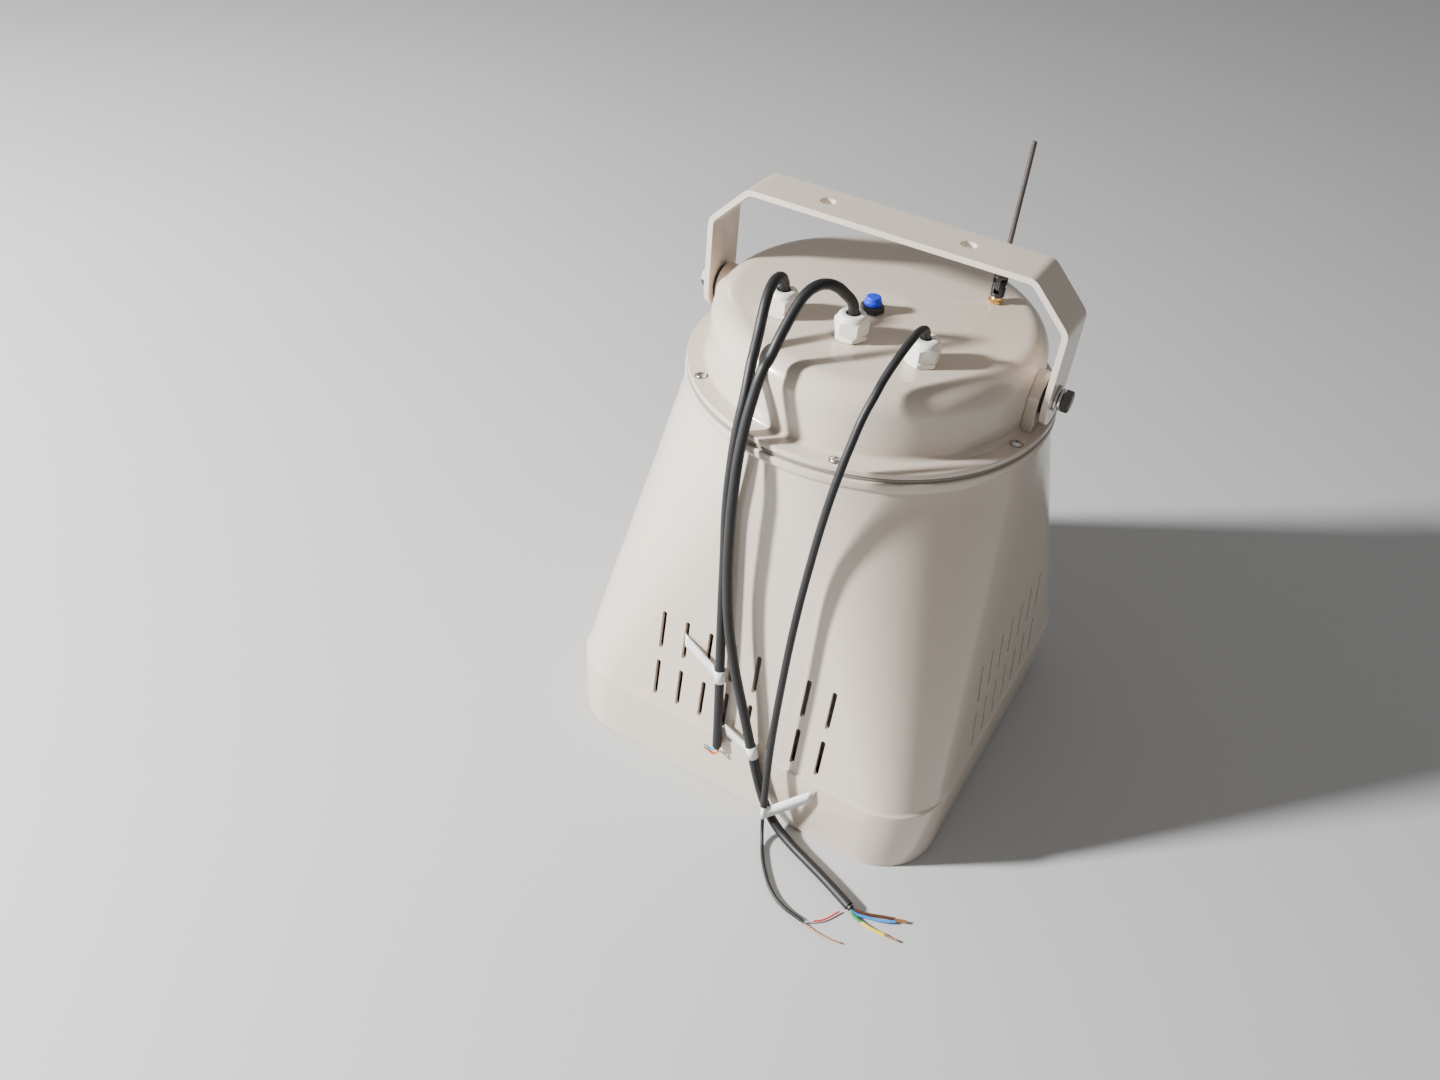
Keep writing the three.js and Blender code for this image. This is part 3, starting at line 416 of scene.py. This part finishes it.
def shell_corner(z, half):
    rise = min(max((z - 58.5) / 238.8, 0), 1)
    outside = 156.5 if z <= 58.5 else taper(min(z, 297.3))
    outer = 48 + (outside - 48) * rise**1.25
    return half if rise >= 1 else max(4, outer - max(0, outside - half))


levels = [60.5 + 236.8 * k / 18 for k in range(1, 18)]
outside = [(156.5, 0, 0.8), (157, 58.5, 0.9), (155.6, 60.5, 0.9), *((taper(z), z) for z in levels),
           (128.8, 297.3, 1.2), (131, 299.4, 1.4), (131, 305, 1.3)]
inside = [(100, 305), (100, 300), (122.6, 300), (taper(294.3) - 3.2, 294.3),
          *((taper(z) - 3.2, z) for z in reversed(levels)), (152.4, 60.5), (153.3, 55.5), (153.3, 0, 0.6)]
shell = plain(squared(turned(rounded([*outside, *inside], closed=True), 120, closed=True), shell_corner, 120))
slots = bmesh.new()
for low, high in ((67, 101), (112.5, 147)):
    for quarter, count, pitch in ((0, 8, 20), (1, 7, 20.6), (2, 8, 20), (3, 7, 20.6)):
        for k in range(count):
            column = (k - (count - 1) / 2) * pitch
            ends_round = [(column + 1.9 * math.cos(a),
                           (high - 1.9 if math.sin(a) > 0 else low + 1.9) + 1.9 * math.sin(a))
                          for a in (math.radians(15 + 30 * n) for n in range(12))]
            spin = Matrix.Rotation(quarter * math.pi / 2, 3, "Z")
            prism([spin @ Vector((x, -170, z)) for x, z in ends_round], spin @ Vector((0, 34, 0)), slots)
carve(shell, plain(slots))
screw_places = [(123.2 * math.cos(math.radians(a)),
                 123.2 * math.sin(math.radians(a))) for a in range(-15, 345, 60)]
carve(shell, plain(rods([(x, y, 2.4, 295, 310) for x, y in screw_places])))
piece(shell, "bell shell", coat, "shell_paint", "head", "bell_shell", bevel=0.35, smooth=48)

# ---------------------------------------------------------------- inner horn
# The horn inside the bell, spun from bare aluminium sheet. It seats on a lip inside the mouth and
# narrows to the throat, where its flange carries the driver.
alloy = finish("bare aluminium", 0.36, 1.0, grain=500, relief=0.06, dark=(0.52, 0.53, 0.54),
               light=(0.66, 0.67, 0.68))


def horn_corner(z, half):
    rise = min(max((z - 5.5) / 205.2, 0), 1)
    start = min(half, 44.5)
    return start + (half - start) * rise


flare = [(19 + 122 * (1 - k / 16) ** 1.7, 5.5 + 252.5 * k / 16) for k in range(17)]
horn = [(flare[0][0], 2.5), (153, 2.5, 0.6), (153, 5.5, 0.6), *((half + 2, z) for half, z in flare),
        (46, 258, 0.5), (46, 262, 0.5), (19, 262), *reversed(flare)]
horn = plain(squared(turned(rounded(horn, closed=True), 80, closed=True), horn_corner, 80))
piece(horn, "inner horn", alloy, "bare_aluminium", "head", "inner_horn")

# ---------------------------------------------------------------- rear cap
# A cast aluminium lid in the same powder coat: a round flange with sunk screw seats, and a low drum with
# a full rounded shoulder. A blank label is stuck flat on its top.
cap_coat = coat.copy()
cap_coat.name = "cap paint"
tree = cap_coat.node_tree
shader = tree.nodes["Principled BSDF"]
place = Value(tree, tree.nodes.new("ShaderNodeTexCoord").outputs["Object"])
x, y, z = (place.node("SeparateXYZ", {0: place}, output=k) for k in range(3))
label = (x > -0.0145) * (0.0128 - x > 0) * (y > 0.0034) * (0.0148 - y > 0) * (z > 0.3599)
under = Value(tree, shader.inputs["Base Color"].links[0].from_socket)
sticker = label.node("Mix", {0: label, 6: under, 7: (0.67, 0.595, 0.515, 1)}, output=2, data_type="RGBA")
sticker.into(shader, "Base Color")
smoother = Value(tree, shader.inputs["Roughness"].links[0].from_socket) - label * 0.14
smoother.into(shader, "Roughness")


def cap_skin(grow=0.0, steps=10):
    """Outside of the cap from the flange up to the middle of its top."""
    bend = [(97.9 + (17.5 + grow) * math.cos(a), 342.7 + (17.5 + grow) * math.sin(a))
            for a in (math.pi / 2 * k / steps for k in range(steps + 1))]
    return [(130.2 + grow, 312.7 + grow, 0.9), (117.7 + grow, 312.7 + grow, 1.6),
            (115.7 + grow, 315.2 + grow, 1.6),
            *bend, (0, 360.2 + grow)]


hollow = [(97.9 + 14.3 * math.cos(a),
           342.7 + 14.3 * math.sin(a)) for a in (math.pi / 2 * k / 6 for k in range(7))]
profile = rounded([(0, 357), *reversed(hollow), (112.5, 308.4), (130.2, 308.4, 0.9), *cap_skin()])
cap = plain(turned(profile, 128))
gland_places = [(-48.1, -54.8), (2.2, -54.8), (52.5, -54.8)]
holes = [(x, y, 2.4, 300, 320) for x, y in screw_places] + [(x, y, 7.9, 350, 370) for x, y in gland_places]
carve(cap, plain(rods([*holes, (-1.2, -14.6, 5.2, 350, 370), (61.8, 51, 3.5, 350, 370)], 32)))
carve(cap, plain(rods([(x, y, 4.7, 311.7, 320) for x, y in screw_places], 40)))
piece(cap, "rear cap", cap_coat, "shell_paint", "head", "rear_cap", bevel=0.22, smooth=48)

# ---------------------------------------------------------------- gasket and cap screws
# A soft grey ring is squeezed between the cap and the shell by six stainless pan-head screws. The
# heads are turned and pressed with a cross, and sit in the sunk seats of the flange.
rubber = finish("seal rubber", 0.62, grain=1200, relief=0.1, dark=(0.014, 0.014, 0.015),
                light=(0.03, 0.03, 0.031))
grey_rubber = finish("gasket rubber", 0.6, grain=1200, relief=0.1, dark=(0.2, 0.175, 0.155),
                     light=(0.27, 0.24, 0.215))
steel = finish("bright steel", 0.26, 1.0, grain=1600, relief=0.03, dark=(0.55, 0.55, 0.56),
               light=(0.72, 0.72, 0.73))
ring = [(113.5, 305.3), (129.4, 305.3, 0.8), (129.4, 308.1, 0.8), (113.5, 308.1)]
gasket = plain(turned(rounded(ring, closed=True), 112, closed=True))
carve(gasket, plain(rods([(x, y, 2.4, 300, 315) for x, y in screw_places])))
piece(gasket, "cap gasket", grey_rubber, "seal_rubber", "head", "cap_gasket")
head = rounded([(0, 297), (2, 297, 0.4), (2, 312), (3.8, 312, 0.3), (3.8, 313.3, 1.2), (2.1, 314.3, 1.0),
                (0, 314.3)])
for number, (x, y) in enumerate(screw_places, 1):
    turn = Matrix.Translation((x, y, 0)) @ Matrix.Rotation(math.radians(23 * number), 4, "Z")
    screw = plain(turned(head, 28), turn)
    cross = [(2, -0.42), (2, 0.42), (0.42, 0.42), (0.42, 2), (-0.42, 2), (-0.42, 0.42), (-2, 0.42),
             (-2, -0.42),
             (-0.42, -0.42), (-0.42, -2), (0.42, -2), (0.42, -0.42)]
    carve(screw, plain(prism([(a, b, 313.0) for a, b in cross], (0, 0, 4)), turn))
    piece(screw, f"cap screw {number}", steel, "bright_steel", "head", f"cap_screw_{number}")


# ---------------------------------------------------------------- pivots
# A painted lug stands on each side of the cap. A dark hexagon bolt goes through the yoke arm into it, over
# a spring washer and a plain washer, with a rubber friction disc between the arm and the lug.
def hexagon(flats, low, high, chamfer, first=30.0, both=False):
    """A hexagonal block whose corners are turned off at the top, and at the bottom too if wanted."""
    corner = flats / math.sqrt(3)
    block = plain(turned([(0, low), (corner, low), (corner, high), (0, high)], 6, first=math.radians(first)))
    skirt = (corner - flats * 0.48) * math.tan(math.radians(chamfer))
    foot = [(flats * 0.48, low), (corner + 0.02, low + skirt)] if both else [(corner + 0.02, low - 0.02)]
    coin = [(0, foot[0][1]), *foot, (corner + 0.02, high - skirt), (flats * 0.48, high + 0.001),
            (0, high + 0.001)]
    return carve(block, plain(turned(coin, 48)), "INTERSECT")


def joined(*parts):
    """Several bare objects as one."""
    bm = bmesh.new()
    for part in parts:
        bm.from_mesh(part.data)
        bpy.data.objects.remove(part)
    mesh = bpy.data.meshes.new("part")
    bm.to_mesh(mesh)
    bm.free()
    made = bpy.data.objects.new("part", mesh)
    bpy.context.collection.objects.link(made)
    return made


def placed(made, place):
    """Moves the mesh of a bare object; the place is in millimetres."""
    metres = place.copy()
    metres.translation = place.translation / 1000
    made.data.transform(metres)
    return made


dark_steel = finish("dark steel", 0.36, 1.0, grain=1300, relief=0.05, dark=(0.1, 0.095, 0.09),
                    light=(0.19, 0.18, 0.17))
for side, facing in (("right", 0), ("left", math.pi)):
    axle = Matrix.Translation((0, 0, 335.5)) @ Matrix.Rotation(facing, 4, "Z") @ Matrix.Rotation(math.pi / 2,
                                                                                                 4, "Y")
    across = Matrix.Rotation(facing, 4, "Z")
    eye = [(108, 15 * math.cos(a), 335.5 + 15 * math.sin(a)) for a in (math.pi * k / 20 for k in range(21))]
    lug = plain(prism([*eye, (108, -15, 312.8), (108, 15, 312.8)], (14.5, 0, 0)), across)
    carve(lug, plain(turned([(0, 300), (130.3, 300), *[tuple(p) for p in rounded(cap_skin(0.04))]], 128)))
    carve(lug, plain(turned([(0, 100), (4.4, 100), (4.4, 130), (0, 130)], 28), axle))
    piece(lug, f"pivot lug {side}", coat, "shell_paint", "head", f"pivot_lug_{side}", bevel=0.9, smooth=50)

    def disc(name, material, slot, inner, outer, low, high, soft):
        ring = rounded([(inner, low, soft), (outer, low, soft), (outer, high, soft), (inner, high, soft)],
                       closed=True)
        made = plain(turned(ring, 48, closed=True), axle)
        return piece(made, f"{name} {side}", material, slot, "head", f"{name.replace(' ', '_')}_{side}")

    # The friction washers are black rubber. Their dark colour is also painted shade: it stands for the deep
    # shade in the gap round the pivot.
    disc("friction washer", rubber, "seal_rubber", 4.4, 13, 122.8, 125.2, 0.5)
    disc("flat washer", steel, "bright_steel", 4.4, 8.7, 129.8, 131.4, 0.3)
    coil = bmesh.new()
    section = [coil.verts.new((r, 0, z)) for r,
               z in ((4.5, 131.75), (7.4, 131.75), (7.4, 133.35), (4.5, 133.35))]
    section = [coil.faces.new(section), *section]
    bmesh.ops.spin(coil, geom=section, cent=(0, 0, 0), axis=(0, 0, 1), dvec=(0, 0, 0.5 / 40),
                   angle=math.radians(350), steps=40)
    bmesh.ops.recalc_face_normals(coil, faces=coil.faces)
    piece(plain(coil, axle), f"spring washer {side}", steel, "bright_steel", "head", f"spring_washer_{side}",
          bevel=0.2)
    shank = turned(rounded([(0, 116.7), (4, 116.7, 0.8), (4, 135), (0, 135)]), 28)
    bolt = joined(hexagon(13, 134.2, 139.5, 30), plain(shank))
    piece(placed(bolt, axle), f"pivot bolt {side}", dark_steel, "dark_steel", "head", f"pivot_bolt_{side}",
          bevel=0.15)

# ---------------------------------------------------------------- yoke
# A strap bent from flat steel bar and powder-coated like the shell. The ends are round about the
# pivots, and two plain holes in the top take the fixing bolts.
strap = []
for inset, bend in ((0, 4.6), (4, 2.9)):
    half, top, corner = 129.5 - inset, 418.1 - inset, 28.4 - inset * (2 - math.sqrt(2))
    row = [(half, 310), (half, top - corner, bend), (half - corner, top, bend), (corner - half, top, bend),
           (-half, top - corner, bend), (-half, 310)]
    row = rounded(row, steps=8)
    strap += row if inset == 0 else list(reversed(row))
yoke = plain(prism([(x, -18.65, z) for x, z in strap], (0, 37.3, 0)))
end = [(-150, 18.65 * math.cos(a),
        335.5 - 18.65 * math.sin(a)) for a in (math.pi * k / 32 for k in range(33))]
carve(yoke, plain(prism([*end, (-150, -18.65, 430), (-150, 18.65, 430)], (300, 0, 0))), "INTERSECT")
carve(yoke, plain(rods([(-50, 0, 5.5, 400, 430), (50, 0, 5.5, 400, 430)], 40)))
lying = Matrix.Translation((0, 0, 335.5)) @ Matrix.Rotation(math.pi / 2, 4, "Y")
carve(yoke, plain(turned([(0, -140), (4.4, -140), (4.4, 140), (0, 140)], 32), lying))
piece(yoke, "yoke bracket", coat, "shell_paint", "yoke", "yoke_bracket", bevel=0.6, smooth=48)

# ---------------------------------------------------------------- cable glands
# Off-white moulded nylon: a hexagon body screwed through the cap, and a domed hexagon nut whose flats
# run up into the dome as arcs. It squeezes a black rubber seal onto the cable.
nylon = finish("gland nylon", 0.4, grain=800, relief=0.03, dark=(0.8, 0.76, 0.68), light=(0.87, 0.835, 0.76),
               patch=60, Subsurface_Weight=0.12, Subsurface_Scale=0.002)
for number, ((x, y), bore, body_turn, nut_turn) in enumerate(zip(
    gland_places, (4.1, 4.1, 3.2), (8, 2, 38), (4, 14, 38)), 1):
    spot = Matrix.Translation((x, y, 0))
    stem = [(bore, 348.5), (7.5, 348.5, 0.5), (7.5, 361), (6.8, 361), (6.8, 372.4, 0.5), (bore, 372.4)]
    body = joined(hexagon(20, 360.5, 364.4, 24, body_turn, both=True),
                  plain(turned(rounded(stem, closed=True), 40, closed=True)))
    piece(placed(body, spot), f"gland body {number}", nylon, "gland_nylon", "head", f"gland_body_{number}",
          bevel=0.18)
    corner = 20 / math.sqrt(3)
    nut = plain(turned([(0, 364.7), (corner, 364.7), (corner, 378.5), (0, 378.5)], 6,
                       first=math.radians(nut_turn)))
    dome = rounded([(0, 364.7), (10.9, 364.7), (11.7, 365.5, 0.4), (11.7, 372.5, 1), (9.9, 374.1, 0.4),
                    (9.7, 375.6, 1.2),
                    (8.3, 377.3, 0.8), (6.3, 377.7, 0.4), (5.4, 377.4), (0, 377.4)], steps=6)
    carve(nut, plain(turned(dome, 64)), "INTERSECT")
    throat = [(0, 360), (7.1, 360), (7.1, 372.7), (bore + 0.2, 372.7), (bore + 0.2, 376.4),
              (bore + 1.4, 378.2), (0, 378.2)]
    carve(nut, plain(turned(throat, 48)))
    piece(placed(nut, spot), f"gland nut {number}", nylon, "gland_nylon", "head", f"gland_nut_{number}",
          bevel=0.22)
    lip = rounded([(bore - 0.45, 373.2), (bore + 0.15, 373.2), (bore + 0.15, 376.3), (bore + 0.7, 376.9, 0.2),
                   (bore - 0.45, 376.9, 0.3)], closed=True)
    seal = plain(turned(lip, 40, closed=True), spot)
    seal.data.name = "seal"
    piece(seal, f"gland seal {number}", rubber, "gland_nylon", "head")

# ---------------------------------------------------------------- breather vent
# A membrane vent lets the housing breathe: a black hexagon plug and a snap-on cap in bright blue
# plastic, moulded in two steps.
black = finish("black plastic", 0.42, grain=1100, relief=0.08, dark=(0.014, 0.014, 0.015),
               light=(0.03, 0.03, 0.032))
blue = finish("blue plastic", 0.34, grain=900, relief=0.03, dark=(0.004, 0.025, 0.6),
              light=(0.006, 0.04, 0.78))
spot = Matrix.Translation((-1.2, -14.6, 0))
stem = [(1.5, 349.2), (4.8, 349.2, 0.4), (4.8, 361), (3, 361), (3, 367.9, 0.3), (1.5, 367.9)]
vent = joined(hexagon(14.4, 360.5, 365.1, 28, 10), plain(turned(rounded(stem, closed=True), 32, closed=True)))
piece(placed(vent, spot), "vent body", black, "black_plastic", "head", "vent_body", bevel=0.2)
snap = rounded([(0, 368.3), (3.3, 368.3), (3.3, 365.4), (6, 365.4, 0.3), (6, 368, 0.7), (5.2, 368.3, 0.3),
                (5, 371, 0.9),
                (0, 371.0)])
piece(plain(turned(snap, 56), spot), "vent cap", blue, "vent_blue", "head", "vent_cap", smooth=50)

# ---------------------------------------------------------------- antenna
# A gold-plated threaded socket with a hexagon nut carries a hinged whip: a black moulded fork that turns
# on the socket, and a grey-brown sleeve whose tongue folds in the fork on a steel pin.
gold = finish("gold plate", 0.24, 1.0, grain=1500, relief=0.03, dark=(0.78, 0.5, 0.14),
              light=(0.95, 0.66, 0.26))
whip_skin = finish("antenna sleeve", 0.38, grain=1100, relief=0.05, dark=(0.05, 0.042, 0.038),
                   light=(0.085, 0.072, 0.066))
spot = Matrix.Translation((61.8, 51, 0))
threads = [(0, 351.2), (3.1, 351.2, 0.4), (3.1, 362.5), (4.2, 362.5), (4.2, 365.1, 0.4), (3.1, 365.1)]
threads += [(3.1 - 0.25 * (k % 2), 365.2 + 0.4 * k) for k in range(6)] + [(0, 367.6)]
socket = joined(hexagon(9.4, 360.5, 363.0, 28, 14, both=True), plain(turned(rounded(threads), 36)))
piece(placed(socket, spot), "antenna connector", gold, "gold_plate", "head", "antenna_connector", bevel=0.1)
barrel = rounded([(0, 365.4), (4.9, 365.4, 0.5), (4.9, 379), (0, 379)])
fork = plain(turned(barrel, 40))
eye = [(-6, 4.9 * math.cos(a), 373.6 + 4.9 * math.sin(a)) for a in (math.pi * k / 20 for k in range(21))]
carve(fork, plain(prism([*eye, (-6, -4.9, 360), (-6, 4.9, 360)], (12, 0, 0))), "INTERSECT")
carve(fork, plain(prism([(-1.9, -8, 368.4), (1.9, -8, 368.4), (1.9, -8, 385), (-1.9, -8, 385)], (0, 16, 0))))
carve(fork, plain(turned([(0, 360), (3.4, 360), (3.4, 367.9), (0, 367.9)], 32)))
piece(placed(fork, spot), "antenna base", black, "black_plastic", "antenna_swivel", "antenna_base",
      bevel=0.25)
pin = turned(rounded([(0, -4.95), (1.3, -4.95, 0.2), (1.3, 4.95, 0.2), (0, 4.95)]), 24)
pin = plain(pin, Matrix.Translation((61.8, 51, 373.6)) @ Matrix.Rotation(math.pi / 2, 4, "Y"))
piece(pin, "antenna pin", steel, "bright_steel", "antenna_swivel")
rod = rounded([(0, 378.8), (4.9, 378.8, 0.4), (4.9, 380.6), (4.65, 380.8), (4.65, 381.3), (4.9, 381.5),
               (4.9, 391.5, 0.8),
               (2.35, 397, 1.2), (1.75, 397.8, 0.6), (1.75, 471, 0.2), (1.5, 472.2, 0.5), (0, 472.6)])
eye = [(-1.6, 4.7 * math.cos(a), 373.6 - 4.7 * math.sin(a)) for a in (math.pi * k / 20 for k in range(21))]
tongue = prism([*eye, (-1.6, -4.4, 379), (-1.6, 4.4, 379)], (3.2, 0, 0))
whip = placed(joined(plain(turned(rod, 36)), plain(tongue)), spot)
piece(whip, "antenna whip", whip_skin, "antenna_sleeve", "antenna", "antenna_whip")

# ---------------------------------------------------------------- parts inside the housing
# Driver, diaphragm, electronics tray and what stands on it, and the nuts under the cap. They keep the
# model's own shape, as none of them shows from outside, and take plain shop finishes.
board = finish("circuit board", 0.45, grain=400, relief=0.2, dark=(0.01, 0.09, 0.03),
               light=(0.02, 0.16, 0.06), patch=260)
for material, names in (
    (nylon, ("gland_locknut_1", "gland_locknut_2", "gland_locknut_3", "terminal_block")),
    (dark_steel, ("driver_magnet",)),
    (alloy, ("driver_diaphragm", "electronics_tray", "heat_sink")),
    (board, ("amplifier_board",)),
    (black, ("power_supply",)),
    (steel, ("radio_module",)),
):
    for name in names:
        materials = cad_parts[name].data.materials
        materials.clear()
        materials.append(material)

# ---------------------------------------------------------------- floor and light
# A plain pale studio floor, one large lamp low at the left front as the main light, and an even pale
# surround that fills the shade.
bm = bmesh.new()
bmesh.ops.create_grid(bm, x_segments=1, y_segments=1, size=12)
mesh = bpy.data.meshes.new("floor")
bm.to_mesh(mesh)
bm.free()
mesh.transform(Matrix.Translation((0, 0, -0.0005)))
floor = bpy.data.objects.new("floor", mesh)
bpy.context.collection.objects.link(floor)
mesh.materials.append(finish("studio floor", 0.7, grain=60, relief=0.01, dark=(0.5, 0.5, 0.5),
                             light=(0.53, 0.53, 0.53), patch=2))


def lamp(name, towards, distance, size, power, aim=(0, -0.05, 0.2)):
    """A round area lamp that stands in the direction given and faces the head."""
    light = bpy.data.lights.new(name, "AREA")
    light.shape, light.size, light.energy = "DISK", size, power
    made = bpy.data.objects.new(name, light)
    bpy.context.collection.objects.link(made)
    away = Vector(towards).normalized()
    made.location = Vector(aim) + away * distance
    made.rotation_mode = "QUATERNION"
    made.rotation_quaternion = away.to_track_quat("Z", "Y")


lamp("key", (-0.70, -0.57, 0.44), 2.6, 0.24, 250)
world = bpy.data.worlds.new("studio")
bpy.context.scene.world = world
world.use_nodes = True
world.node_tree.nodes["Background"].inputs["Color"].default_value = (1, 0.99, 0.975, 1)
world.node_tree.nodes["Background"].inputs["Strength"].default_value = 0.3
